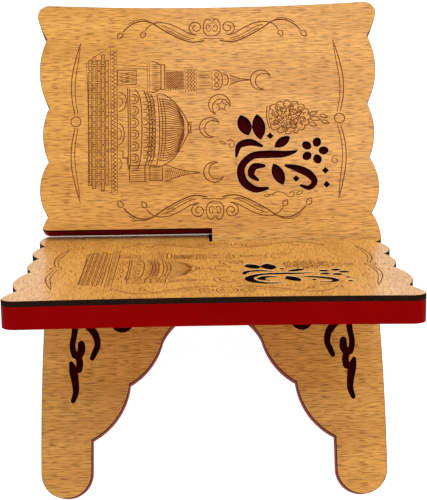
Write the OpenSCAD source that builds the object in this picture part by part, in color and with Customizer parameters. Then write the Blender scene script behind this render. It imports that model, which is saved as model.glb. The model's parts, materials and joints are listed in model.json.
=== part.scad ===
// Slot-together book stand. Two boards of the same outline are cross-halved at the waist: each has a slot
// from one side edge to the middle, and each passes through the slot of the other. Every board is a painted
// base with a thin veneered face glued on, and the face is pierced with ornaments that show the base.

/* [Boards] */
// Height of the reading part, from the crossing line to the end corners
reading_h = 160; // [130:1:220]
// Length of the legs, from the crossing line to the tip of the foot
leg_h = 151.2; // [130:1:200]
// Half the width of a board at the notches beside the reading part
notch_x = 100.5; // [90:0.5:140]
// Thickness of the painted base
base_t = 12; // [6:0.5:18]
// Thickness of the veneered face
face_t = 3; // [1.5:0.5:5]

/* [Crossing] */
// Angle between the two reading parts when the stand is open
open_angle = 113.5; // [100:0.5:125]
// Clearance between a board and each side of the slot that it passes through
slot_clearance = 0.35; // [0.2:0.05:1]
// Gap between the end walls of the two slots
end_gap = 1.5; // [0.8:0.1:3]
// Rounding of the slot at the side edge
mouth_r = 4.5; // [1:0.5:6]

/* [Scallops] */
// Height of the notch above the crossing
notch4_v = 20.5; // [17:0.5:30]
// Height of the second notch above the crossing
notch3_v = 56; // [40:0.5:65]
// Height of the third notch above the crossing
notch2_v = 91.5; // [75:0.5:105]
// Distance from the end corners down to the end notch
end_drop = 23; // [18:0.5:30]
// Depth of the waist below the crossing, where the leg begins
waist_drop = 14.5; // [13:0.5:20]
// How much wider the board is at the end notch
end_notch_extra = 1.8; // [0:0.5:5]
// How far the end corners stand out past the notches
corner_out = 7.8; // [3:0.1:10]
// Radius of the end corners
corner_r = 7.2; // [3:0.1:10]
// Dip of the end edge between its corners
end_dip = 2.6; // [0:0.1:6]
// Bulge of the lobe beside the end notch
lobe1_bulge = 5.3; // [2:0.1:8]
// Bulge of the next lobe
lobe2_bulge = 3.8; // [1.5:0.1:8]
// Bulge of the lobe above the crossing
lobe3_bulge = 5.3; // [2:0.1:8]
// Bulge of the lobe at the crossing
lobe4_bulge = 5; // [2:0.1:8]

/* [Legs] */
// Half the width over the legs
leg_x = 103.1; // [90:0.1:145]
// Half the width at the waist, where the legs begin
waist_x = 100.8; // [88:0.1:143]
// Bulge of a leg's outer edge
leg_bulge = 1.2; // [0.2:0.1:3]
// Width of a foot
foot_w = 30; // [22:0.5:40]
// Height of the arch between the legs, from the tip of the feet
arch_h = 113; // [85:1:118]
// Half the width of the arch where its crown ends
crown_x = 30.3; // [20:0.1:40]
// Rise of the crown above its ends
crown_rise = 19.2; // [10:0.1:28]
// Height of the arch's lower cusp, from the tip of the feet
cusp2_h = 34.2; // [26:0.1:42]
// Height of the arch's upper cusp, from the tip of the feet
cusp1_h = 67.4; // [55:0.1:75]
// How far the upper cusp stands in from the foot
cusp1_in = 22.7; // [15:0.1:30]
// Bulge of the scallop between the cusps
scallop1_bulge = 5; // [2:0.1:8]
// Bulge of the scallop beside the crown
scallop2_bulge = 3.3; // [1:0.1:6]

/* [Ornaments] */
// Scale of the pierced scroll on each leg
fret_scale = 1; // [0.8:0.05:1.1]
// Scale of the pierced spray on each reading part
spray_scale = 1; // [0.8:0.05:1.1]
// Distance of the sprays from the middle of the board
spray_x = 45; // [38:1:55]
// Height of the rear board's spray above the crossing
rear_spray_v = 62; // [52:1:95]
// Height of the front board's spray above the crossing
front_spray_v = 101; // [52:1:106]

/* [Hidden] */
board_t = base_t + face_t;
half_open = open_angle / 2;                 // lean of each board from the vertical
crossing_angle = 180 - open_angle;          // sharpest angle at which one board crosses the other
slot_h = board_t * (1 + cos(crossing_angle)) / sin(crossing_angle)
       + 2 * slot_clearance / sin(crossing_angle);
hinge_z = leg_h * cos(half_open) + board_t / 2 * sin(half_open);
arc_steps = 12;
brush_steps = 6;                            // points between two places on a brush stroke
cut = 1;                                    // how far a cutting solid passes a face

notch1_v = reading_h - end_drop;
foot_r = foot_w / 2;
foot_v = foot_r - leg_h;
inner_x = leg_x - foot_w;
crown_end_v = arch_h - leg_h - crown_rise;
cusp1 = [inner_x - cusp1_in, cusp1_h - leg_h];
cusp2 = [inner_x, cusp2_h - leg_h];
corner_bow = 0.6;                           // bulge between an end corner and its notch
leg_top = [waist_x, -waist_drop];
fret_centre = [80, -64];

// points of an arc after p up to q, which stands s off the straight line, to the left of the way from p to q
function bow(p, q, s, n = arc_steps) =
    let (d = q - p, c = norm(d), along = d / c, side = [-along.y, along.x] * sign(s), h = abs(s),
         r = (c * c / 4 + h * h) / (2 * h), half = h < c / 2 ? asin(c / (2 * r)) : 90,
         centre = (p + q) / 2 - side * (r - h))
    [for (i = [1 : n]) let (t = -half + 2 * half * i / n) centre + r * (side * cos(t) + along * sin(t))];

// points of a corner about a centre, from angle a0 to angle a1
function corner(centre, r, a0, a1, n = arc_steps) =
    [for (i = [0 : n]) let (t = a0 + (a1 - a0) * i / n) centre + r * [cos(t), sin(t)]];

function mirrored(points) = [for (i = [len(points) - 1 : -1 : 0]) [-points[i].x, points[i].y]];

// right half of a board, from the middle of the end edge round to the middle of the arch
corner_c = [notch_x + corner_out - corner_r, reading_h - corner_r];
corner_sweep = 15;                          // how far round the end corner turns past the side
notch1 = [notch_x + end_notch_extra, notch1_v];
end_points = bow([-corner_c.x, reading_h], [corner_c.x, reading_h], -end_dip, 2 * arc_steps);
right_side = concat(
    [for (i = [arc_steps - 1 : 2 * arc_steps - 2]) end_points[i]],
    corner(corner_c, corner_r, 90, -corner_sweep),
    bow(corner_c + corner_r * [cos(corner_sweep), -sin(corner_sweep)], notch1, corner_bow, 4),
    bow(notch1, [notch_x, notch2_v], lobe1_bulge),
    bow([notch_x, notch2_v], [notch_x, notch3_v], lobe2_bulge),
    bow([notch_x, notch3_v], [notch_x, notch4_v], lobe3_bulge),
    bow([notch_x, notch4_v], leg_top, lobe4_bulge),
    bow(leg_top, [leg_x, foot_v], leg_bulge),
    bow([leg_x, foot_v], [inner_x, foot_v], foot_r, 2 * arc_steps),
    [cusp2],
    bow(cusp2, cusp1, scallop1_bulge),
    bow(cusp1, [crown_x, crown_end_v], scallop2_bulge));
crown_points = bow([crown_x, crown_end_v], [-crown_x, crown_end_v], -crown_rise, 2 * arc_steps);
outline = concat(right_side, [for (i = [0 : 2 * arc_steps - 2]) crown_points[i]], mirrored(right_side));

mouth_x = notch_x + lobe4_bulge;            // the board's edge at the slot's mouth
mouth_sides = 48;

module board_outline() {
    difference() {
        polygon(outline);
        translate([-2 * notch_x, -slot_h / 2]) square([2 * notch_x + end_gap / 2, slot_h]);
        for (side = [0, 1]) mirror([0, side]) translate([-mouth_x, slot_h / 2]) difference() {
            translate([-cut, -cut]) square(mouth_r + cut);
            translate([mouth_r, mouth_r]) circle(mouth_r, $fn = mouth_sides);
        }
    }
}

// a brush stroke: a smooth line through places [x, y, half width], with its two round ends
brush_least = 0.2;                          // least half width
end_turn = 22.5;                            // turn between two points of a round end
function smooth(a, b, c, d, t) =
    0.5 * (2 * b + (c - a) * t + (2 * a - 5 * b + 4 * c - d) * t * t + (3 * b - a - 3 * c + d) * t * t * t);
function spine(places) = let (last = len(places) - 1)
    [for (i = [0 : last - 1], k = [0 : i == last - 1 ? brush_steps : brush_steps - 1])
        smooth(places[max(i - 1, 0)], places[i], places[i + 1], places[min(i + 2, last)], k / brush_steps)];
function heading(line, i) =
    let (a = line[max(i - 1, 0)], b = line[min(i + 1, len(line) - 1)]) atan2(b.y - a.y, b.x - a.x);
function brush_side(line, side) = [for (i = [0 : len(line) - 1])
    let (p = line[i], t = heading(line, i) + side * 90)
    [p.x, p.y] + max(p.z, brush_least) * [cos(t), sin(t)]];
function brush_end(line, i, way) = let (p = line[i], t = heading(line, i) + (way > 0 ? 0 : 180))
    [for (k = [-3 : 3]) [p.x, p.y] + max(p.z, brush_least) * [cos(t - k * end_turn), sin(t - k * end_turn)]];

module brush(places) {
    line = spine(places);
    left = brush_side(line, 1);
    right = brush_side(line, -1);
    polygon(concat(left, brush_end(line, len(line) - 1, 1),
                   [for (i = [len(right) - 1 : -1 : 0]) right[i]], brush_end(line, 0, -1)));
}

// a leaf: two equal arcs between its tips
module leaf(p, q, bulge) polygon(concat(bow(p, q, bulge), bow(q, p, bulge)));

// scroll pierced through each leg: a knotted stem with a bud, an arch over to a hook, and a curl beyond them
module leg_fret() {
    translate(fret_centre) scale([fret_scale, fret_scale, 1]) translate(-fret_centre) {
        brush([[80, -30, 0.6], [84.3, -38, 2.6], [83.6, -50, 1.9], [85, -60, 1.8], [83.6, -66, 1.9]]);
        brush([[82.8, -65.2, 1.9], [80.6, -69.6, 2.1], [81, -74.6, 2.1]]);
        brush([[85.8, -70.6, 1.3], [84.4, -75.4, 2.6], [83.4, -81, 2.3], [82.8, -88, 1.9],
               [84.4, -93.4, 1.5]]);
        brush([[79.7, -59, 2.1], [79.6, -63, 2.4], [81.2, -67, 2.1]]);
        brush([[84, -46.5, 2.6], [77, -47, 2.4], [71.4, -53, 2.2], [69.8, -59.5, 1.9], [71.6, -64.6, 1.8],
               [73, -67.8, 1.5]]);
        brush([[77, -45, 2.6], [70, -37.5, 2.4], [61, -35, 2.8], [54.5, -39.5, 4.2], [54.8, -45.3, 7.2]]);
    }
}

// spray pierced through a reading part, in a frame of its own: a bent stem with a curl, leaves, a flower of
// five petals and seeds
seed_side = 3.2;
petal_turn = 72;
flower = [21, -1];
module spray() {
    brush([[-9, -25, 1], [-17, -25.5, 2.2], [-24, -20, 2.7], [-25, -11, 2.4], [-18, -4, 2.3], [-8, -3, 2.5],
           [1, -3, 2.2], [7, -2, 1.3], [10, -1, 0.6]]);
    brush([[-15, -19.5, 1], [-19, -16, 2.1], [-17, -11, 2.3], [-11, -10.5, 1.2]]);
    brush([[-28, -4, 0.8], [-26, 3, 2], [-19, 5, 2.3], [-12, 2.5, 1]]);
    brush([[3, -10.5, 1], [10, -12.5, 2.3], [17, -16, 2.5], [20.5, -21, 2], [17, -25, 1.6],
           [12, -23.5, 0.9]]);
    leaf([-20, 9.5], [-25, 23], 4.3);
    leaf([-12.5, 6.5], [-14.5, 23.5], 4.2);
    leaf([-4, 1.5], [6, 8.5], 3);
    leaf([-5, -9], [1, -23], 3.8);
    for (turn = [0 : petal_turn : 359]) translate(flower) rotate(turn) leaf([2.6, 0], [9, 0], 2.7);
    for (seed = [[27.5, -14], [-6.5, 9], [28, -23], [9, -19]])
        translate(seed) rotate(45) square(seed_side, center = true);
}

module rear_piercing() {
    for (side = [0, 1]) mirror([side, 0]) leg_fret();
    translate([spray_x, rear_spray_v]) scale([spray_scale, spray_scale, 1]) spray();
}

module front_piercing() {
    for (side = [0, 1]) mirror([side, 0]) leg_fret();
    translate([-spray_x, front_spray_v]) rotate(180) scale([spray_scale, spray_scale, 1]) spray();
}

// places a board drawn flat, with its reading face up, on its feet and leaning back
module stood() {
    translate([0, 0, hinge_z]) rotate([90 - half_open, 0, 0]) translate([0, 0, -board_t / 2]) children();
}

module board_base() {
    stood() linear_extrude(base_t) board_outline();
}

module rear_board_base() {
    color("firebrick") board_base();
}

module rear_board_face() {
    color("burlywood") stood() translate([0, 0, base_t]) linear_extrude(face_t) difference() {
        board_outline();
        rear_piercing();
    }
}

module front_board_base() {
    color("darkred") rotate(180) board_base();
}

module front_board_face() {
    color("tan") rotate(180) stood() translate([0, 0, base_t]) linear_extrude(face_t) difference() {
        board_outline();
        front_piercing();
    }
}

rear_board_base();
rear_board_face();
front_board_base();
front_board_face();
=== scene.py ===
import json
import math
import random

import bmesh
import bpy
from mathutils import Matrix, Vector


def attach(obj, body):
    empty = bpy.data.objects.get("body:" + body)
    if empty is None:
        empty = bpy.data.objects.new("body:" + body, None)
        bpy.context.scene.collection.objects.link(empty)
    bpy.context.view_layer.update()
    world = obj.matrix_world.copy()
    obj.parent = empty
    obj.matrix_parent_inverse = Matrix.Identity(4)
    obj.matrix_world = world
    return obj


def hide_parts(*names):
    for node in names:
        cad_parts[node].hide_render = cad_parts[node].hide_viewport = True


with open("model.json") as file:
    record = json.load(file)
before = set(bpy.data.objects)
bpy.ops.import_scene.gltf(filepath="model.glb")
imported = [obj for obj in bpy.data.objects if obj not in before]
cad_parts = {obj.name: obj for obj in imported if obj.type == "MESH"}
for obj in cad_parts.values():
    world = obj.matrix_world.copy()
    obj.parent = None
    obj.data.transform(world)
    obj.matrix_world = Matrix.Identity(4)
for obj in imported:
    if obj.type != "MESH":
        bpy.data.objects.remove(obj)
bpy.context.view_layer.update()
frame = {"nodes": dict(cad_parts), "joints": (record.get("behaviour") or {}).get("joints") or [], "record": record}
bpy.context.scene.view_settings.view_transform = "Standard"

# Each board is worked flat, in millimetres: x across it, y up it from the crossing line, and z out of
# its reading face, which lies at faceTop. Then it is stood up into its place in the frame.
board = {
    "baseThickness": 12.0,
    "faceThickness": 3.0,
    "edgeRound": 0.6,  # rounding of the painted edges
    "edgeSegments": 2,
    "rimBurn": 0.6,  # width of the burnt chamfer round the veneer
    "rimBare": 0.25,  # width of the chamfer round its cut-outs, bare wood in colour and partly a painted highlight
    "mergeDistance": 0.002,
    "cleanAngle": math.radians(0.5),  # faces that meet at less than this become one
    "edgeAngle": math.radians(60),  # an edge is sharper than this
    "nearLevel": 0.01,  # how close to a level counts as on it
    "flat": 0.99,  # upright part of the normal of a face that looks up or down
}
faceTop = (board["baseThickness"] + board["faceThickness"]) / 2
millimetre = 0.001

crossing = Vector(frame["joints"][0]["pos_m"])
mounts = {mount["name"]: mount for mount in frame["record"]["mounts"]}


def standing(turned):  # from a board laid flat to its place in the frame
    outward = Vector(mounts["rear_reading_face"]["axis"])
    upBoard = Vector((0, outward.z, -outward.y))
    turn = Matrix((Vector((1, 0, 0)), upBoard, outward)).transposed().to_4x4()
    place = Matrix.Translation(crossing) @ turn @ Matrix.Scale(millimetre, 4)
    return Matrix.Rotation(math.pi, 4, "Z") @ place if turned else place


strokes = []  # (points, half width, closed, the board that alone carries it or None)
pen = {
    "fine": 0.30,  # half widths of the burnt lines
    "plain": 0.37,
    "bold": 0.50,
    "step": 1.4,  # distance between two points of a line
    "taper": 0.45,  # how thin the end of a line is
    "depth": 1.0,  # depth of a groove, in half widths
    "lift": 0.35,  # how far the cutter stands out of the face, in half widths
    "flare": 1.2,  # half width of the cutter where it stands out, in half widths
    "cell": 2.0,  # side of a square in the search for strokes that touch
    "mark": 0.4,  # distance between two places of a line that are looked at in that search
    "room": 0.25,  # least gap between two strokes of a group
    "widen": 1.25,  # the width that the search gives a stroke
}


def stroke(points, width="plain", closed=False, only=None):
    strokes.append(([Vector(p).to_2d() for p in points], pen[width], closed, only))


def smooth(places, closed=False):
    places = [Vector(p) for p in places]
    count = len(places)
    points = []
    for i in range(count if closed else count - 1):
        if closed:
            a, b, c, d = (places[(i + k) % count] for k in (-1, 0, 1, 2))
        else:
            a, b, c, d = (places[min(max(i + k, 0), count - 1)] for k in (-1, 0, 1, 2))
        parts = max(2, round((c - b).length / pen["step"]))
        for k in range(parts):
            t = k / parts
            points.append(0.5 * (2 * b + (c - a) * t + (2 * a - 5 * b + 4 * c - d) * t * t
                                 + (3 * b - a - 3 * c + d) * t ** 3))
    if not closed:
        points.append(places[-1])
    return points


def arc(centre, radius, start, end):
    sweep = math.radians(end - start)
    parts = max(4, round(abs(sweep) * radius / (0.8 * pen["step"])))
    return [(centre[0] + radius * math.cos(math.radians(start) + sweep * k / parts),
             centre[1] + radius * math.sin(math.radians(start) + sweep * k / parts))
            for k in range(parts + 1)]


def ring(centre, radius, width="plain"):
    stroke(arc(centre, radius, 0, 360)[:-1], width, True)


def spiral(centre, inner, outer, start, end):
    parts = max(6, round(abs(math.radians(end - start)) * (inner + outer) / 2 / pen["step"]))
    points = []
    for k in range(parts + 1):
        share = k / parts
        angle = math.radians(start + (end - start) * share)
        radius = inner + (outer - inner) * share
        points.append((centre[0] + radius * math.cos(angle), centre[1] + radius * math.sin(angle)))
    return points


def crescent(centre, radius, opening):  # its gap looks along the angle opening
    stroke(arc(centre, radius, opening + 48, opening + 312))
    turn = math.radians(opening)
    inner = (centre[0] + 0.30 * radius * math.cos(turn), centre[1] + 0.30 * radius * math.sin(turn))
    stroke(arc(inner, 0.80 * radius, opening + 62, opening + 298))


def star(centre, radius, tips=5, turn=0.0):
    points = []
    for k in range(2 * tips):
        reach = radius if k % 2 == 0 else 0.45 * radius
        angle = math.radians(turn) + math.pi * k / tips
        points.append((centre[0] + reach * math.cos(angle), centre[1] + reach * math.sin(angle)))
    stroke(points, "fine", True)


def leaf(base, tip, bulge, width="fine"):
    base, tip = Vector(base), Vector(tip)
    along = tip - base
    side = Vector((-along.y, along.x)).normalized() * bulge
    stroke(smooth([base, base + 0.3 * along + 0.8 * side, base + 0.6 * along + side * 0.75, tip]), width)
    stroke(smooth([base, base + 0.3 * along - 0.8 * side, base + 0.6 * along - side * 0.75, tip]), width)


def hatch(low, high, gap, slant=0.0, width="fine"):  # lines across a rectangle, each rising by slant
    y = low[1] + gap / 2
    while y < high[1] - gap / 4:
        stroke([(low[0], y), ((low[0] + high[0]) / 2, y + slant / 2), (high[0], y + slant)], width)
        y += gap


def box(low, high, width="plain"):
    stroke([low, (high[0], low[1]), high, (low[0], high[1])], width, True)


def zigzag(start, end, swing, count, width="fine"):
    start, end = Vector(start), Vector(end)
    side = Vector((-(end - start).y, (end - start).x)).normalized() * swing
    stroke([start + (end - start) * k / count + (side if k % 2 else -side) for k in range(count + 1)],
           width)


def drawWall():
    left, right, low, high = -76.0, -62.6, 40.0, 123.0
    courses, rows = 5, 11
    stroke([(-77, 121), (-76, 100), (-75.4, 70), (-75, 42)], "plain")
    stroke([(-77, 121.5), (-62, 131.5)], "plain")
    stroke([(-75, 41.5), (-58.5, 34)], "plain")
    for c in range(courses):
        width = (right - left) / courses
        x = left + (c + 0.5) * width
        height = (high - low) / rows
        for r in range(rows + c % 2):
            y = low + (r + 0.5 - 0.5 * (c % 2)) * height
            top = min(y + height / 2 - 0.5, high + 2 * c)
            bottom = max(y - height / 2 + 0.5, low - 1.4 * c)
            if top - bottom < 2.5:
                continue
            w = width / 2 - 0.42
            stroke([(x - w, bottom), (x + w, bottom), (x + w, top), (x - w, top)], "fine", True)
            stroke([(x, bottom + 1.3), (x, top - 1.3)], "fine")
    stroke([(-61.7, 131), (-61.4, 80), (-61.2, 35)], "plain")
    stroke([(-57.8, 130), (-57.6, 80), (-57.6, 34.5)], "plain")
    zigzag((-59.7, 129), (-59.4, 36), 1.0, 72)


def drawArches():
    stroke(smooth([(-57, 101), (-53, 99.5), (-51.8, 95), (-53.4, 90), (-57, 88)]), "plain")
    stroke(smooth([(-57, 98), (-54.6, 96.5), (-54.2, 93.5), (-57, 91)]), "fine")
    stroke(smooth([(-57, 80.5), (-54.4, 79), (-53.2, 73.5), (-54.4, 68), (-57, 66.5)]), "plain")
    stroke(smooth([(-57, 77.5), (-55.6, 76.5), (-55, 73.5), (-55.6, 70.5), (-57, 69.5)]), "fine")
    stroke([(-57, 62.5), (-54, 62.5), (-54, 58), (-51.4, 58), (-51.4, 53)], "plain")
    stroke(smooth([(-56.6, 58), (-54.6, 54), (-56.6, 50)]), "fine")
    for y in (86, 84.4, 82.8, 65, 48, 46.4):
        stroke([(-57, y), (-52, y)], "fine")


def drawDrum():
    stroke(smooth([(-51, 104), (-50.6, 78), (-50.8, 50)]), "plain")
    stroke(smooth([(-49.8, 103.5), (-49.4, 78), (-49.6, 50.5)]), "fine")
    for y in (96.5, 88.7, 80.9, 73.1, 65.3, 57.5):
        stroke(smooth([(-48.6, y - 2.9), (-45.6, y - 2.6), (-44.1, y), (-45.6, y + 2.6),
                       (-48.6, y + 2.9)]), "plain")
        stroke([(-48.6, y - 1.5), (-46.6, y - 1.3), (-45.7, y), (-46.6, y + 1.3), (-48.6, y + 1.5)], "fine")
    stroke(smooth([(-46.5, 103.2), (-43.4, 98), (-42.2, 88), (-42, 77), (-42.3, 66), (-43.4, 55),
                   (-45, 50.5)]), "plain")
    for y in range(56, 101, 5):
        x = -41.2 - 0.0012 * (y - 77) ** 2
        stroke(smooth([(x, y - 1.7), (x + 2.1, y - 1.5), (x + 2.9, y), (x + 2.1, y + 1.5),
                       (x, y + 1.7)]), "fine")
    for k, x in enumerate((-37.4, -35.6, -33.6)):
        stroke(smooth([(x - 3.4, 102 - k), (x - 0.8, 94), (x, 77), (x - 0.8, 60),
                       (x - 3, 52 + k)]), "plain")
    zigzag((-36.9, 97), (-36.9, 57), 0.75, 30)
    zigzag((-34.9, 96), (-34.9, 58), 0.7, 30)
    for y in range(53, 102, 3):
        stroke([(-39.6, y), (-36.4, y), (-33.2, y)], "fine")
        stroke([(-48.9, y + 1.4), (-48.9, y - 0.2)], "fine")
    for x, reach in ((-29.4, 20.5), (-27.4, 19.4)):
        stroke(smooth([(x - 1.6, 77 - reach), (x, 77 - reach / 2), (x + 0.4, 77), (x, 77 + reach / 2),
                       (x - 1.6, 77 + reach)]), "fine")


def drawDome():
    base = [(-32.6, 99.5), (-31.4, 90), (-31, 77), (-31.4, 63), (-33, 52.5)]
    upper = smooth([(-32.6, 99.5), (-28.6, 99.4), (-22.4, 95), (-17.2, 88.5), (-13.5, 81.5), (-11.6, 77.6)])
    lower = smooth([(-33, 52.5), (-29, 52.6), (-22.6, 57.2), (-17.4, 64.6), (-13.5, 72.4), (-11.6, 76.4)])
    stroke(smooth(base), "plain")
    stroke(upper, "plain")
    stroke(lower, "plain")
    ribs = 27
    for k in range(1, ribs):
        share = k / ribs
        y = 54.5 + 43 * share
        x = -31 - 0.0028 * (y - 77) ** 2 + 0.6
        bulge = (y - 77) * 0.99
        points = [(x, y), (x + 5.5, 77 + bulge), (x + 12, 77 + bulge * 0.72), (-15.4, 77 + bulge * 0.22)]
        stroke(smooth(points), "fine")
    stroke([(-13, 80.4), (-11.2, 80.4), (-11.2, 73.6), (-13, 73.6)], "plain", True)
    stroke([(-10.6, 78.7), (-7.4, 78.2), (-6.2, 77.9)], "fine")
    stroke([(-10.6, 75.5), (-7.4, 76), (-6.2, 76.3)], "fine")
    crescent((0.8, 77), 6.6, -20)


def drawTallTower():
    box((-57.4, 106), (-45.5, 115.6), "fine")
    hatch((-57, 106), (-46, 113.6), 1.25, 1.9)
    hatch((-57, 108), (-46, 115.6), 2.5, -1.9)
    stroke([(-57, 119), (-38.8, 118)], "plain")
    stroke([(-57, 117.2), (-38.8, 116.6)], "fine")
    stroke([(-45, 105.4), (-39, 103)], "fine")
    stroke([(-38.4, 120), (-38.4, 101.6)], "plain")
    stroke([(-37, 121), (-37, 100.8)], "fine")
    stroke(smooth([(-36, 121.4), (-33.4, 121), (-31, 119.6), (-29.8, 118)]), "plain")
    stroke(smooth([(-36, 100.6), (-33.4, 101), (-31, 102.4), (-29.8, 104)]), "plain")
    hatch((-35.6, 101.8), (-30.6, 120.2), 1.3)
    box((-29.8, 102.6), (-27.4, 119))
    for k in range(8):
        zigzag((-26.8, 103.4 + 1.45 * k), (-15, 103.4 + 1.45 * k), 0.62, 15)
    stroke([(-27.2, 115.4), (-14.6, 114.4)], "plain")
    stroke([(-27.2, 102), (-14.6, 102.8)], "plain")
    stroke([(-14.4, 117.4), (-14.4, 99.6)], "plain")
    stroke([(-7.4, 117.2), (-7.4, 99.8)], "plain")
    zigzag((-12.7, 116.4), (-12.7, 100.6), 0.8, 12)
    zigzag((-10.8, 116.4), (-10.8, 100.6), 0.8, 12)
    zigzag((-8.9, 116.4), (-8.9, 100.6), 0.8, 12)
    stroke([(-6.8, 114.6), (2.2, 114)], "plain")
    stroke([(-6.8, 102.4), (2.2, 103)], "plain")
    hatch((-6.2, 104.2), (1.6, 107.4), 1.15)
    hatch((-6.2, 109.6), (1.6, 113), 1.15)
    stroke([(2.6, 115.2), (2.6, 101.6)], "plain")
    stroke(smooth([(3.2, 115), (6.5, 114.6), (8.8, 112), (9, 108.4), (8.8, 104.8), (6.5, 102.2),
                   (3.2, 101.8)]), "plain")
    for y, s in ((111.8, 1.1), (108.4, 1.25), (105, 1.1)):
        ring((5.6, y), 1.25 * s, "fine")
    stroke(smooth([(9.6, 112), (12, 111.4), (13, 108.4), (12, 105.4), (9.6, 104.8)]), "plain")
    stroke(smooth([(13.6, 111.6), (17, 110.4), (21, 109), (27, 108.3)]), "plain")
    stroke(smooth([(13.6, 105.2), (17, 106.4), (21, 107.7), (26.4, 107.9)]), "plain")
    for x in (14.4, 15.5, 16.6, 17.7, 18.8, 19.9):
        reach = 2.3 - 0.32 * (x - 14)
        stroke([(x, 108.4 - reach), (x + 0.3, 108.4), (x, 108.4 + reach)], "fine")
    crescent((33.6, 108), 6.6, -25)


def drawShortTower():
    box((-50, 42.4), (-40.4, 53))
    hatch((-49.4, 42.8), (-41, 52.6), 1.5)
    stroke([(-39.6, 54), (-39.6, 41.4)], "plain")
    stroke([(-38, 54), (-38, 41.4)], "fine")
    box((-37.2, 43), (-29.4, 52.4))
    hatch((-36.4, 43.6), (-30.2, 52), 1.05)
    stroke(smooth([(-28.8, 53.4), (-25, 52.2), (-18, 49.8), (-11, 48.4), (-5.4, 47.8)]), "plain")
    stroke(smooth([(-28.8, 42.2), (-25, 43.4), (-18, 45.8), (-11, 47.1), (-6.2, 47.4)]), "plain")
    for k in range(12):
        x = -28 + 1.3 * k
        reach = 4.4 - 0.36 * k
        stroke([(x, 47.7 - reach), (x + 0.9, 47.7), (x, 47.7 + reach)], "fine")
    crescent((3, 48), 6.6, 20)


def drawMedallion():
    crescent((7, 92), 6.8, -62)
    star((8.6, 91.2), 3.5, 5, 15)


def drawBouquet():
    stroke(smooth([(37.2, 91), (36.6, 86), (36.9, 81), (38.4, 75.6)]), "plain")
    stroke(smooth([(38.8, 91.4), (38.2, 86), (38.4, 81), (39.6, 76)]), "fine")
    turns = random.Random(7)
    golden = 137.5
    for k in range(17):  # roses, closer together towards the middle
        reach = 2.45 * math.sqrt(k + 0.2)
        angle = math.radians(golden * k)
        centre = (49.8 + 1.08 * reach * math.cos(angle), 83.2 + 0.82 * reach * math.sin(angle))
        start = turns.uniform(0, 360)
        stroke(spiral(centre, 2.35, 0.5, start, start + 560), "fine")
    buds = 42
    for k in range(buds):
        reach = 1.3 + 9.6 * math.sqrt((k + 0.5) / buds)
        angle = math.radians(golden * (k + 0.37))
        centre = (49.8 + 1.05 * reach * math.cos(angle), 83.2 + 0.8 * reach * math.sin(angle))
        turn = turns.uniform(0, 360)
        stroke(arc(centre, 0.9, turn, turn + 250), "plain")
    for k in range(16):  # petals round the edge
        angle = 22.5 * k
        centre = (49.8 + 12.2 * math.cos(math.radians(angle)), 83.2 + 8.9 * math.sin(math.radians(angle)))
        if centre[0] > 39.5:
            stroke(arc(centre, 2.2, angle - 88, angle + 88), "plain")
    for base, tip, bulge in (((63.5, 84.6), (69, 86.4), 1.5), ((63.8, 82), (71, 81.6), 1.6),
                             ((63, 79.4), (68.4, 77), 1.4), ((70, 84.4), (75.6, 82.6), 1.3),
                             ((70.6, 80.6), (76.4, 78.6), 1.2)):
        leaf(base, tip, bulge, "plain")


def drawFlourishes():
    stroke(smooth([(11, 67.6), (13.2, 69), (15.4, 67.6), (15.9, 64.8), (13.9, 63.6), (12.7, 65.4),
                   (13.9, 67)]), "fine")
    leaf((6.4, 68), (10.8, 65.9), 0.9)
    stroke(smooth([(38, 32.8), (42, 34.6), (46, 33.8), (49, 31.4), (52, 31.6), (52.6, 33.8), (50.8, 34.6),
                   (49.6, 33)]), "fine")
    leaf((53.8, 32.8), (58.4, 35), 1.1)
    leaf((33.6, 32), (37.6, 32.8), 0.8)
    stroke(smooth([(80, 58), (77.4, 56.6), (76.8, 53.8), (79.4, 52.8), (80.4, 55), (78.6, 55.6)]), "fine")


def drawScroll(level, up):  # a border scroll across the page, upside down at its foot
    middle = 3.0

    def placed(side, path):
        return [(middle + side * x, level + up * y) for x, y in path]

    for side in (-1, 1):
        stroke(placed(side, spiral((10.2, 0.2), 5.0, 1.1, -100, 470)), "plain")
        upper = [(9.4, -4.8), (13, -4.4), (18, -1.7), (24, 1.6), (30, 3.6), (36, 3.6), (40, 1.6),
                 (42.6, -1.6)]
        lower = [(4.6, -8.4), (9, -9.4), (14.4, -9.4), (21.5, -6.6), (28, -3), (33, 0), (38, 3.6), (43, 5),
                 (48, 4.4), (53, 1.6), (56.8, -2.2)]
        stroke(placed(side, smooth(upper)), "plain")
        stroke(placed(side, smooth(lower)), "bold")
        stroke(placed(side, smooth([(11, -7.4), (16, -6.2), (22, -3), (28, 0.4), (33, 2)])), "fine")
        stroke(placed(side, smooth([(13, -8.2), (18, -6.9), (24, -3.8), (30, -0.4)])), "fine")
        stroke(placed(side, smooth([(39.6, 4.6), (44, 6.1), (49, 5.4), (53.6, 2.8)])), "fine")
        leafAt(placed(side, [(57.2, -2.6), (60.4, -7)]), 1.9)
        leafAt(placed(side, [(42.8, -2), (45.2, -6.4)]), 1.8)
        stroke(placed(side, smooth([(0.3, -5.6), (3.4, -4.9), (5.3, -2), (5.2, 2.4), (3.8, 5.4), (1.8, 5.6),
                                    (0.4, 3.9)])), "plain")
        stroke(placed(side, smooth([(0.4, -0.8), (1.6, -2.4), (3.3, -1.6), (3.6, 0.6), (2.6, 2), (1.3, 1.2),
                                    (1.7, -0.1)])), "fine")
    stroke(placed(1, smooth([(-8, -8), (-4, -7.2), (0, -7.6), (4, -7.2), (8, -8)])), "fine")


def leafAt(ends, bulge):
    leaf(ends[0], ends[1], bulge, "plain")


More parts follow.
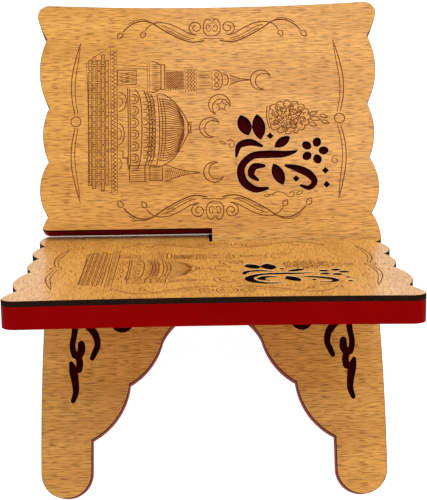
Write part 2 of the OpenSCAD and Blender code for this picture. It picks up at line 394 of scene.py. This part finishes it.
def drawSideArcs():
    for side, ringX, outerX, only in ((-1, -83.6, -80.6, "rear"), (-1, -91.4, -88.4, "front"),
                                      (1, 82.6, 80, "rear"), (1, 84.6, 82, "front")):
        for up in (1, -1):
            outer = [(outerX, 82 + up * 52.4), (outerX + side * 2.8, 82 + up * 43),
                     (outerX + side * 5.6, 82 + up * 29), (outerX + side * 5.6, 82 + up * 16),
                     (ringX + side * 0.6, 82 + up * 4.4)]
            inner = [(outerX + side * 0.4, 82 + up * 49.6), (outerX + side * 1.6, 82 + up * 40),
                     (outerX + side * 3.4, 82 + up * 27), (outerX + side * 3.4, 82 + up * 16),
                     (ringX - side * 1.4, 82 + up * 4.2)]
            stroke(smooth(outer), "plain", only=only)
            stroke(smooth(inner), "fine", only=only)
        stroke(arc((ringX, 82), 3.2, 0, 360)[:-1], "plain", True, only)


for draw in (drawWall, drawArches, drawDrum, drawDome, drawTallTower, drawShortTower, drawMedallion,
             drawBouquet, drawFlourishes, drawSideArcs):
    draw()
drawScroll(143.6, 1)
drawScroll(23.4, -1)
print("engraving:", len(strokes), "lines")


page = {  # the front board carries the same drawing turned half round
    "turn": 165.5,  # the heights of a line on the two boards add up to this
    "shift": 4.0,  # and it lies this much further to the side
}


def openEdges(bm):
    return sum(not e.is_manifold for e in bm.edges)


def groupedStrokes():  # groups in which no two strokes touch
    cell = pen["cell"]
    groups = []
    for points, half, closed, only in strokes:
        path = list(points) + ([points[0]] if closed else [])
        marks = []
        for a, b in zip(path, path[1:]):
            parts = max(1, round((b - a).length / pen["mark"]))
            marks += [a + (b - a) * k / parts for k in range(parts + 1)]
        around = [(i, j) for i in (-1, 0, 1) for j in (-1, 0, 1)]
        keys = {(int(m.x // cell) + i, int(m.y // cell) + j) for m in marks for i, j in around}
        for group in groups:
            if not touches(group["cells"], keys, marks, half):
                break
        else:
            group = {"cells": {}, "strokes": []}
            groups.append(group)
        group["strokes"].append((points, half, closed, only))
        for m in marks:
            group["cells"].setdefault((int(m.x // cell), int(m.y // cell)), []).append((m, half))
    return groups


def touches(cells, keys, marks, half):
    near = [item for key in keys if key in cells for item in cells[key]]
    return any((m - other).length < (half + otherHalf) * pen["widen"] + pen["room"]
               for m in marks for other, otherHalf in near)


def cutter(name, group, turned):  # three-sided bars that follow the strokes of a group
    profile = bpy.data.curves.new(name + "Profile", "CURVE")
    profile.dimensions = "2D"
    spline = profile.splines.new("POLY")
    spline.points.add(2)
    corners = (-pen["flare"], pen["lift"]), (0, -pen["depth"]), (pen["flare"], pen["lift"])
    for point, (x, y) in zip(spline.points, corners):
        point.co = (x, y, 0, 1)
    spline.use_cyclic_u = True
    profileObject = bpy.data.objects.new(name + "Profile", profile)
    curve = bpy.data.curves.new(name, "CURVE")
    curve.dimensions = "2D"
    curve.bevel_mode = "OBJECT"
    curve.bevel_object = profileObject
    curve.use_fill_caps = True
    curve.fill_mode = "NONE"
    for points, half, closed, only in group["strokes"]:
        if only not in (None, "front" if turned else "rear"):
            continue
        spline = curve.splines.new("POLY")
        spline.points.add(len(points) - 1)
        last = len(points) - 1
        for k, (point, place) in enumerate(zip(spline.points, points)):
            x, y = (-place.x - page["shift"], page["turn"] - place.y) if turned else place
            point.co = (x, y, 0, 1)
            point.radius = half * (pen["taper"] if not closed and k in (0, last) else 1)
        spline.use_cyclic_u = closed
        spline.use_smooth = False
    curveObject = bpy.data.objects.new(name, curve)
    for thing in (profileObject, curveObject):
        bpy.context.scene.collection.objects.link(thing)
    bpy.context.view_layer.update()
    mesh = bpy.data.meshes.new_from_object(curveObject.evaluated_get(bpy.context.evaluated_depsgraph_get()))
    for thing in (profileObject, curveObject):
        bpy.data.objects.remove(thing)
    bm = bmesh.new()
    bm.from_mesh(mesh)
    bmesh.ops.remove_doubles(bm, verts=bm.verts, dist=board["mergeDistance"] / 4)
    bmesh.ops.recalc_face_normals(bm, faces=bm.faces)
    bmesh.ops.translate(bm, vec=(0, 0, faceTop), verts=bm.verts)
    print("   ", name, len(group["strokes"]), "lines", len(bm.faces), "faces", openEdges(bm), "open edges")
    bm.to_mesh(mesh)
    bm.free()
    made = bpy.data.objects.new(name, mesh)
    bpy.context.scene.collection.objects.link(made)
    return made


def newMaterial(name):
    material = bpy.data.materials.new(name)
    material.use_nodes = True
    nodes = material.node_tree.nodes
    shader = nodes["Principled BSDF"]
    return material, nodes, material.node_tree.links, shader


def flatPlace(nodes, links, turned, grainTurn=0.0):
    coordinates = nodes.new("ShaderNodeTexCoord")
    lean = math.atan2(mounts["rear_reading_face"]["axis"][2], -mounts["rear_reading_face"]["axis"][1])
    level = nodes.new("ShaderNodeMapping")
    tilt = math.pi / 2 - lean
    level.inputs["Rotation"].default_value = (tilt, 0, math.pi) if turned else (-tilt, 0, 0)
    level.inputs["Scale"].default_value = (1 / millimetre,) * 3
    links.new(coordinates.outputs["Object"], level.inputs["Vector"])
    if not grainTurn:
        return level.outputs["Vector"]
    spun = nodes.new("ShaderNodeMapping")
    spun.inputs["Rotation"].default_value = (0, 0, grainTurn)
    links.new(level.outputs["Vector"], spun.inputs["Vector"])
    return spun.outputs["Vector"]


def stretchedNoise(nodes, links, place, scale, detail=2.0, roughness=0.5, offset=(0, 0, 0)):
    mapping = nodes.new("ShaderNodeMapping")
    mapping.inputs["Scale"].default_value = scale
    mapping.inputs["Location"].default_value = offset
    links.new(place, mapping.inputs["Vector"])
    noise = nodes.new("ShaderNodeTexNoise")
    noise.inputs["Scale"].default_value = 1.0
    noise.inputs["Detail"].default_value = detail
    noise.inputs["Roughness"].default_value = roughness
    links.new(mapping.outputs["Vector"], noise.inputs["Vector"])
    return noise.outputs["Fac"]


def ramp(nodes, links, value, stops):  # two stops, each a place and a colour
    made = nodes.new("ShaderNodeValToRGB")
    for element, (place, colour) in zip(made.color_ramp.elements, stops):
        element.position = place
        element.color = (*colour, 1)
    links.new(value, made.inputs["Fac"])
    return made.outputs["Color"]


def mixColour(nodes, links, share, first, second, how="MIX"):
    mix = nodes.new("ShaderNodeMix")
    mix.data_type = "RGBA"
    mix.blend_type = how
    for socket, value in ((mix.inputs[0], share), (mix.inputs[6], first), (mix.inputs[7], second)):
        if isinstance(value, (int, float)):
            socket.default_value = value
        elif isinstance(value, tuple):
            socket.default_value = (*value, 1)
        else:
            links.new(value, socket)
    return mix.outputs[2]


def mathNode(nodes, links, operation, first, second):
    node = nodes.new("ShaderNodeMath")
    node.operation = operation
    for socket, value in zip(node.inputs, (first, second)):
        if isinstance(value, (int, float)):
            socket.default_value = value
        else:
            links.new(value, socket)
    return node.outputs[0]


beech = {
    "pale": (0.77, 0.385, 0.086),
    "warm": (0.65, 0.300, 0.060),
    "fleck": (0.30, 0.100, 0.014),
    "fleckShare": 0.72,
    "fleckScale": (0.14, 1.45, 0.5),  # per millimetre, along the grain, across it and through the veneer
    "fibreScale": (0.12, 2.2, 1.6),
    "bandScale": (0.008, 0.07, 0.05),
    "fleckEnds": (0.565, 0.615),  # where in its noise a fleck begins and is full
    "bandEnds": (0.35, 0.68),
    "fibreEnds": (0.32, 0.62),
    "fibreShades": ((0.74, 0.70, 0.62), (1.10, 1.09, 1.06)),
    "roughness": 0.42,
    "sheen": 0.12,  # how much the bare veneer mirrors
    "lacquer": 0.22,
    "lacquerRoughness": 0.12,
    "relief": 0.25,
    "reliefDepth": 0.0001,
}


def beechVeneer(name, turned, grainTurn, offset):
    material, nodes, links, shader = newMaterial(name)
    place = flatPlace(nodes, links, turned, grainTurn)
    bands = stretchedNoise(nodes, links, place, beech["bandScale"], 3, 0.5, offset)
    fibre = stretchedNoise(nodes, links, place, beech["fibreScale"], 2, 0.6, offset)
    fleck = stretchedNoise(nodes, links, place, beech["fleckScale"], 1.5, 0.45, offset)
    fleckMask = ramp(nodes, links, fleck, zip(beech["fleckEnds"], ((0, 0, 0), (1, 1, 1))))
    bandMask = ramp(nodes, links, bands, zip(beech["bandEnds"], ((0, 0, 0), (1, 1, 1))))
    colour = mixColour(nodes, links, bandMask, beech["pale"], beech["warm"])
    fibreShade = ramp(nodes, links, fibre, zip(beech["fibreEnds"], beech["fibreShades"]))
    colour = mixColour(nodes, links, 1.0, colour, fibreShade, "MULTIPLY")
    colour = mixColour(nodes, links, mathNode(nodes, links, "MULTIPLY", fleckMask, beech["fleckShare"]),
                       colour, beech["fleck"])
    links.new(colour, shader.inputs["Base Color"])
    shader.inputs["Roughness"].default_value = beech["roughness"]
    shader.inputs["Specular IOR Level"].default_value = beech["sheen"]
    shader.inputs["Coat Weight"].default_value = beech["lacquer"]
    shader.inputs["Coat Roughness"].default_value = beech["lacquerRoughness"]
    bump = nodes.new("ShaderNodeBump")
    bump.inputs["Strength"].default_value = beech["relief"]
    bump.inputs["Distance"].default_value = beech["reliefDepth"]
    height = mathNode(nodes, links, "SUBTRACT", fibre, fleckMask)
    links.new(height, bump.inputs["Height"])
    links.new(bump.outputs["Normal"], shader.inputs["Normal"])
    return material


burnt = {
    "light": (0.33, 0.105, 0.020),
    "dark": (0.16, 0.043, 0.009),
    "roughness": 0.75,
    "sheen": 0.1,
}


def burntGroove(name):
    material, nodes, links, shader = newMaterial(name)
    place = flatPlace(nodes, links, False)
    patches = stretchedNoise(nodes, links, place, (0.5, 0.5, 0.5), 3)
    links.new(ramp(nodes, links, patches, ((0.35, burnt["dark"]), (0.62, burnt["light"]))),
              shader.inputs["Base Color"])
    shader.inputs["Roughness"].default_value = burnt["roughness"]
    shader.inputs["Specular IOR Level"].default_value = burnt["sheen"]
    return material


charred = {
    "dark": (0.006, 0.0035, 0.003),
    "brown": (0.026, 0.0095, 0.005),
    "roughness": 0.9,
    "sheen": 0.04,
}


def charredEdge(name):
    material, nodes, links, shader = newMaterial(name)
    place = flatPlace(nodes, links, False)
    streaks = stretchedNoise(nodes, links, place, (0.9, 0.9, 0.9), 4, 0.6)
    links.new(ramp(nodes, links, streaks, ((0.35, charred["dark"]), (0.7, charred["brown"]))),
              shader.inputs["Base Color"])
    shader.inputs["Roughness"].default_value = charred["roughness"]
    shader.inputs["Specular IOR Level"].default_value = charred["sheen"]
    return material


# the chamfer round the cut-outs: bare wood, made paler than the veneer as a painted highlight on their rims
bareWoodHighlight = {
    "pale": (0.86, 0.58, 0.33),
    "warm": (0.66, 0.36, 0.16),
    "roughness": 0.8,
}


def bareArrisHighlight(name):
    material, nodes, links, shader = newMaterial(name)
    place = flatPlace(nodes, links, False)
    grain = stretchedNoise(nodes, links, place, (0.6, 0.6, 0.6), 3)
    links.new(ramp(nodes, links, grain, ((0.35, bareWoodHighlight["warm"]), (0.6, bareWoodHighlight["pale"]))),
              shader.inputs["Base Color"])
    shader.inputs["Roughness"].default_value = bareWoodHighlight["roughness"]
    return material


paint = {
    "red": (0.24, 0.0005, 0.0003),
    "deep": (0.20, 0.0004, 0.0003),
    "roughness": 0.45,
    "sheen": 0.5,
    "relief": 0.2,
    "reliefDepth": 0.0001,
    "roughnessSwing": (0.07, 0.08),  # down and up from the middle
    "underRoughness": 0.7,
    "bending": 1.06,  # index of refraction, low so that the sides stay red when seen at a slant
    # painted shade: near black-red for the glued side, seen only at the floor of the cut-outs
    "underVeneerShade": (0.045, 0.001, 0.0015),
}


def redPaint(name, colours, roughness):
    material, nodes, links, shader = newMaterial(name)
    place = flatPlace(nodes, links, False)
    cloud = stretchedNoise(nodes, links, place, (0.03, 0.03, 0.03), 3)
    links.new(ramp(nodes, links, cloud, ((0.3, colours[1]), (0.7, colours[0]))),
              shader.inputs["Base Color"])
    grain = stretchedNoise(nodes, links, place, (1.6, 1.6, 1.6), 3, 0.6)
    down, up = paint["roughnessSwing"]
    rough = ramp(nodes, links, grain, ((0.3, (roughness - down,) * 3), (0.7, (roughness + up,) * 3)))
    links.new(rough, shader.inputs["Roughness"])
    shader.inputs["IOR"].default_value = paint["bending"]
    shader.inputs["Specular IOR Level"].default_value = paint["sheen"]
    bump = nodes.new("ShaderNodeBump")
    bump.inputs["Strength"].default_value = paint["relief"]
    bump.inputs["Distance"].default_value = paint["reliefDepth"]
    links.new(grain, bump.inputs["Height"])
    links.new(bump.outputs["Normal"], shader.inputs["Normal"])
    return material


beechMaterials = {
    False: beechVeneer("beechAcross", False, 0.0, (0, 0, 0)),
    True: beechVeneer("beechAlong", True, math.pi / 2, (31, 17, 0)),
}
grooveMaterial = burntGroove("burntLine")
edgeMaterial = charredEdge("charredEdge")
arrisHighlightMaterial = bareArrisHighlight("bareArrisHighlight")
paintMaterial = redPaint("redPaint", (paint["red"], paint["deep"]), paint["roughness"])
# the glued side in painted shade, so that the floor of the cut-outs reads dark
underShadeMaterial = redPaint("paintedShadeUnderVeneer", (paint["underVeneerShade"], paint["underVeneerShade"]),
                         paint["underRoughness"])
print("materials done")


def flatCopy(node, name, turned):  # the plain solid laid flat, with its doubles merged
    mesh = frame["nodes"][node].data.copy()
    mesh.name = name
    mesh.materials.clear()
    mesh.transform(standing(turned).inverted())
    bm = bmesh.new()
    bm.from_mesh(mesh)
    bmesh.ops.remove_doubles(bm, verts=bm.verts, dist=board["mergeDistance"])
    bmesh.ops.dissolve_limit(bm, angle_limit=board["cleanAngle"], verts=bm.verts, edges=bm.edges)
    return mesh, bm


def finished(mesh, name, turned, body, node):  # stood up in place of its plain solid
    mesh.transform(standing(turned))
    made = bpy.data.objects.new(name, mesh)
    bpy.context.scene.collection.objects.link(made)
    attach(made, body)
    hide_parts(node)
    return made


def sharpEdges(bm, level):  # those that lie at one height of the flat board
    return [e for e in bm.edges if len(e.link_faces) == 2 and e.calc_face_angle(0) > board["edgeAngle"]
            and all(abs(v.co.z - level) < board["nearLevel"] for v in e.verts)]


def paintedBase(node, name, turned, body):
    mesh, bm = flatCopy(node, name, turned)
    bmesh.ops.bevel(bm, geom=sharpEdges(bm, -faceTop), affect="EDGES", offset=board["edgeRound"],
                    offset_type="OFFSET", segments=board["edgeSegments"], profile=0.5, material=-1,
                    clamp_overlap=True)
    for face in bm.faces:  # the glued side gets painted shade, near black-red, for the floor of the cut-outs
        face.material_index = 1 if face.normal.z > board["flat"] else 0
        face.smooth = False
    bm.to_mesh(mesh)
    bm.free()
    mesh.materials.append(paintMaterial)
    mesh.materials.append(underShadeMaterial)
    return finished(mesh, name, turned, body, node)


def rimLoops(bm):  # the closed rows of edges round the top of the veneer, its outline first
    edges = sharpEdges(bm, faceTop)
    waiting = set(edges)
    loops = []
    for start in edges:
        if start not in waiting:
            continue
        waiting.discard(start)
        loop, front = [], [start]
        while front:
            edge = front.pop()
            loop.append(edge)
            for other in (near for vert in edge.verts for near in vert.link_edges):
                if other in waiting:
                    waiting.discard(other)
                    front.append(other)
        heights = [vert.co.y for edge in loop for vert in edge.verts]
        loops.append((max(heights) - min(heights), loop))
    loops.sort(key=lambda item: -item[0])
    return [loop for height, loop in loops]


slots = {"veneer": 0, "groove": 1, "edge": 2, "arris": 3}  # materials of the engraved face, in this order


def engravedFace(node, name, turned, body):
    mesh, bm = flatCopy(node, name, turned)
    for face in bm.faces:
        face.material_index = slots["veneer"] if abs(face.normal.z) > board["flat"] else slots["edge"]
    # the outline gets a burnt chamfer, each cut-out a pale one that is partly painted highlight
    for k, loop in enumerate(rimLoops(bm)):
        width, material = (board["rimBare"], slots["arris"]) if k else (board["rimBurn"], slots["edge"])
        bmesh.ops.bevel(bm, geom=loop, affect="EDGES", offset=width, offset_type="OFFSET", segments=1,
                        profile=0.5, material=material, clamp_overlap=True)
    bmesh.ops.remove_doubles(bm, verts=bm.verts, dist=board["mergeDistance"])
    bm.normal_update()
    print("   ", name, "blank", len(bm.faces), "faces", openEdges(bm), "open edges")
    bm.to_mesh(mesh)
    bm.free()
    for material in (beechMaterials[turned], grooveMaterial, edgeMaterial, arrisHighlightMaterial):
        mesh.materials.append(material)
    blank = bpy.data.objects.new(name + "Blank", mesh)
    bpy.context.scene.collection.objects.link(blank)
    cutters = []
    for k, group in enumerate(strokeGroups):
        made = cutter(f"{name}Cutter{k}", group, turned)
        cutters.append(made)
        cut = blank.modifiers.new(made.name, "BOOLEAN")
        cut.operation = "DIFFERENCE"
        cut.solver = "MANIFOLD"
        cut.object = made
    bpy.context.view_layer.update()
    mesh = bpy.data.meshes.new_from_object(blank.evaluated_get(bpy.context.evaluated_depsgraph_get()))
    mesh.name = name
    for thing in cutters + [blank]:
        bpy.data.objects.remove(thing)
    bm = bmesh.new()
    bm.from_mesh(mesh)
    bm.normal_update()
    for face in bm.faces:  # a sloping face that isn't the rim is a groove
        if face.material_index == slots["veneer"] and abs(face.normal.z) < board["flat"]:
            face.material_index = slots["groove"]
        face.smooth = False
    print("   ", name, len(bm.faces), "faces", openEdges(bm), "open edges",
          {part: sum(f.material_index == k for f in bm.faces) for part, k in slots.items()})
    bm.to_mesh(mesh)
    bm.free()
    return finished(mesh, name, turned, body, node)


strokeGroups = groupedStrokes()
print("groups:", [len(group["strokes"]) for group in strokeGroups])
for turned, side in ((False, "rear"), (True, "front")):
    paintedBase(f"{side}_board_base", f"{side}_painted_base", turned, f"{side}_board")
    engravedFace(f"{side}_board_face", f"{side}_engraved_face", turned, f"{side}_board")
print("boards done")


studio = {
    "floorSize": 8.0,
    "floorColour": (0.6, 0.6, 0.6),
    "floorRoughness": 0.9,
    "floorGlow": 0.85,
    "sky": 0.82,
    "keyPlace": (0.4, -0.1, 1.7),
    "keyTarget": (0, 0, 0.1),
    "keySize": 0.9,
    "keyPower": 10,
}


def stagePlane():
    mesh = bpy.data.meshes.new("floor")
    bm = bmesh.new()
    bmesh.ops.create_grid(bm, x_segments=1, y_segments=1, size=studio["floorSize"] / 2)
    bm.to_mesh(mesh)
    bm.free()
    floor = bpy.data.objects.new("floor", mesh)
    bpy.context.scene.collection.objects.link(floor)
    material, nodes, links, shader = newMaterial("paleFloor")
    shader.inputs["Base Color"].default_value = (*studio["floorColour"], 1)
    shader.inputs["Roughness"].default_value = studio["floorRoughness"]
    shader.inputs["Specular IOR Level"].default_value = 0.0
    shader.inputs["Emission Color"].default_value = (1, 1, 1, 1)
    shader.inputs["Emission Strength"].default_value = studio["floorGlow"]
    mesh.materials.append(material)


def softLight(name, place, target, size, power):
    light = bpy.data.lights.new(name, "AREA")
    light.shape = "SQUARE"
    light.size = size
    light.energy = power
    made = bpy.data.objects.new(name, light)
    made.location = place
    made.rotation_euler = (Vector(target) - Vector(place)).to_track_quat("-Z", "Y").to_euler()
    bpy.context.scene.collection.objects.link(made)


stagePlane()
world = bpy.data.worlds.new("studio")
world.use_nodes = True
background = world.node_tree.nodes["Background"]
background.inputs["Color"].default_value = (1, 1, 1, 1)
background.inputs["Strength"].default_value = studio["sky"]
bpy.context.scene.world = world
softLight("keyLight", studio["keyPlace"], studio["keyTarget"], studio["keySize"], studio["keyPower"])


camera = {
    "place": (-0.00637, -0.58348, 0.66769),
    "pitch": 44.77,
    "yaw": 0.794,
    "roll": -0.324,
    "lens": 94.96,
    "sensorWidth": 36,
}


def placeCamera():
    data = bpy.data.cameras.new("camera")
    data.sensor_fit = "AUTO"
    data.sensor_width = camera["sensorWidth"]
    data.lens = camera["lens"]
    made = bpy.data.objects.new("camera", data)
    pitch, yaw, roll = (math.radians(camera[k]) for k in ("pitch", "yaw", "roll"))
    ahead = Vector((math.sin(yaw) * math.cos(pitch), math.cos(yaw) * math.cos(pitch), -math.sin(pitch)))
    right = ahead.cross(Vector((0, 0, 1))).normalized()
    over = right.cross(ahead)
    rightRolled = math.cos(roll) * right + math.sin(roll) * over
    overRolled = -math.sin(roll) * right + math.cos(roll) * over
    made.matrix_world = Matrix.Translation(camera["place"]) @ Matrix(
        (rightRolled, overRolled, -ahead)).transposed().to_4x4()
    bpy.context.scene.collection.objects.link(made)
    bpy.context.scene.camera = made


placeCamera()
print("studio and camera done")
